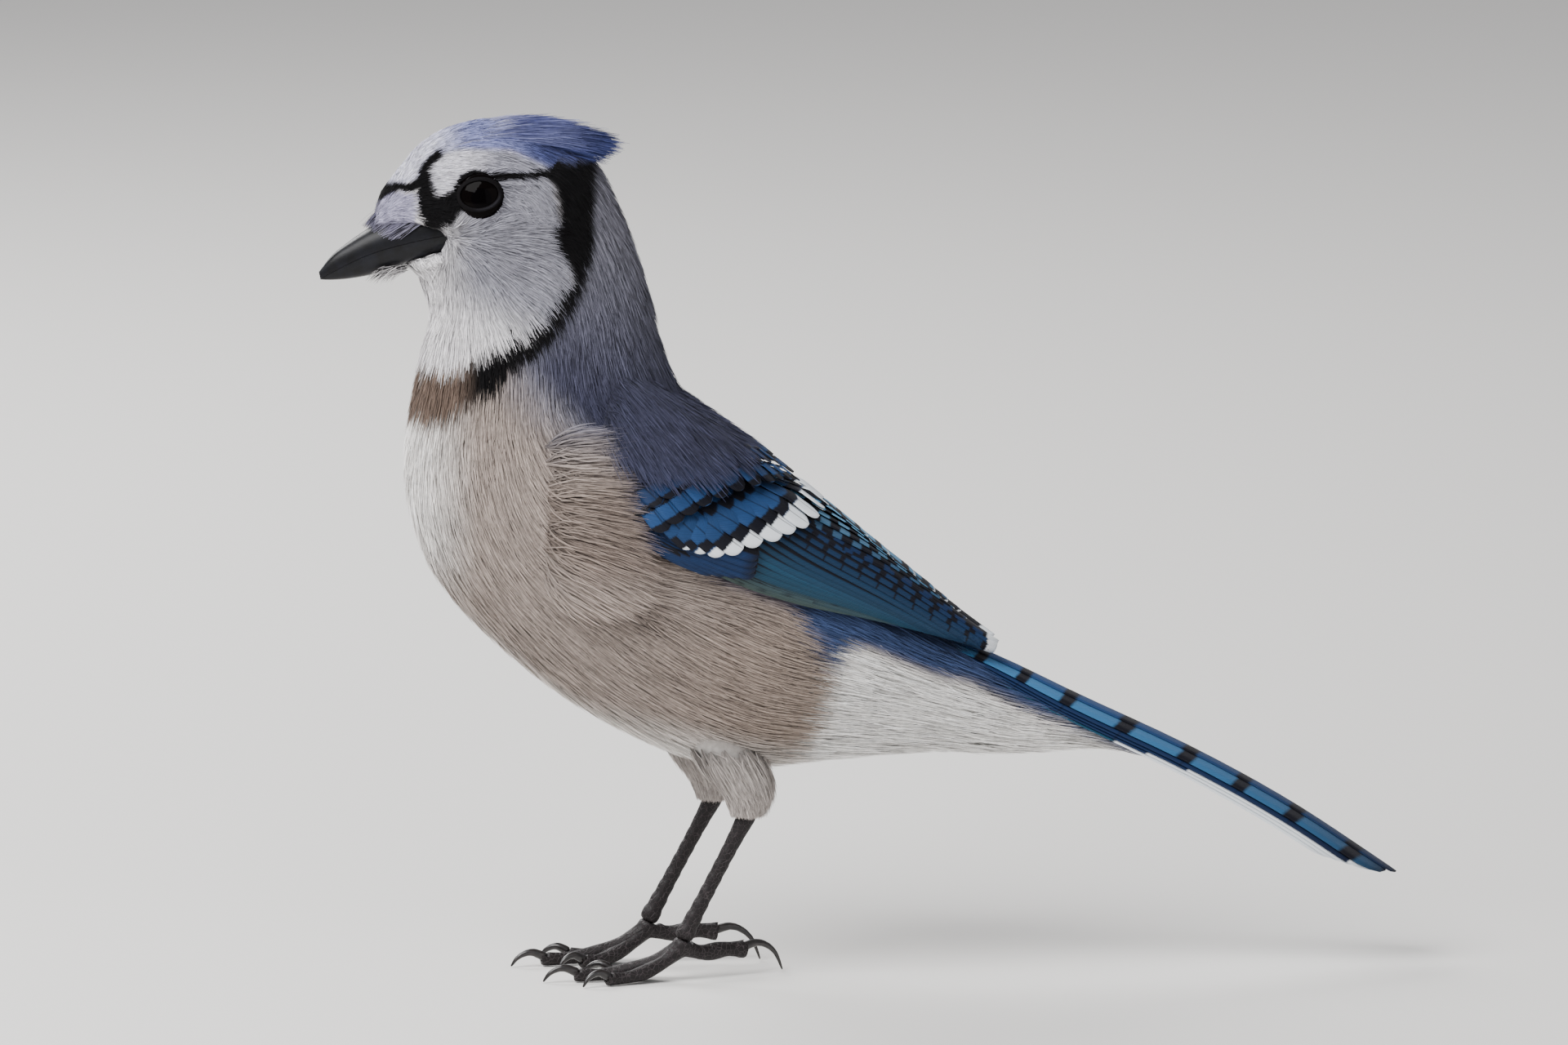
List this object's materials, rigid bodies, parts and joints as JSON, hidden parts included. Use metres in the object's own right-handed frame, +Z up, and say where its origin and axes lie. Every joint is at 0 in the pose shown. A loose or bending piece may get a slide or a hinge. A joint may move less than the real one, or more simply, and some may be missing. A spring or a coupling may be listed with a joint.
{
  "type": "blue jay figure",
  "caption": "Still, life-size blue jay that stands on both feet with its wings folded and its tail low behind it.",
  "frame": {"origin": "on the floor, under the middle of the bird's bounding box", "axes": "+Z up, -X towards the bird's face, -Y towards its left side"},
  "size_m": [0.2386, 0.066, 0.1915],
  "materials": {
    "plumage": "soft short feathers, grey, white and black",
    "crest_feathers": "soft blue feathers",
    "wing_feathers": "blue vanes with black bars and white tips",
    "tail_feathers": "blue vanes with black bars and white tips",
    "bill_horn": "dark horn, satin",
    "scaled_skin": "dark scaled skin",
    "claw_horn": "dark horn, glossy",
    "eyes": "polished"
  },
  "bodies": {
    "root": {"head": "plumage", "neck": "plumage", "torso": "plumage", "tail_base": "plumage", "thigh_left": "plumage", "thigh_right": "plumage", "crest": "crest_feathers", "wing_left": "wing_feathers", "wing_right": "wing_feathers", "tail": "tail_feathers", "bill_upper": "bill_horn", "bill_lower": "bill_horn", "tarsus_left": "scaled_skin", "tarsus_right": "scaled_skin", "foot_left": "scaled_skin", "foot_right": "scaled_skin", "claw_left_hind": "claw_horn", "claw_left_inner": "claw_horn", "claw_left_middle": "claw_horn", "claw_left_outer": "claw_horn", "claw_right_hind": "claw_horn", "claw_right_inner": "claw_horn", "claw_right_middle": "claw_horn", "claw_right_outer": "claw_horn", "eye_left": "eyes", "eye_right": "eyes"}
  },
  "joints": []
}
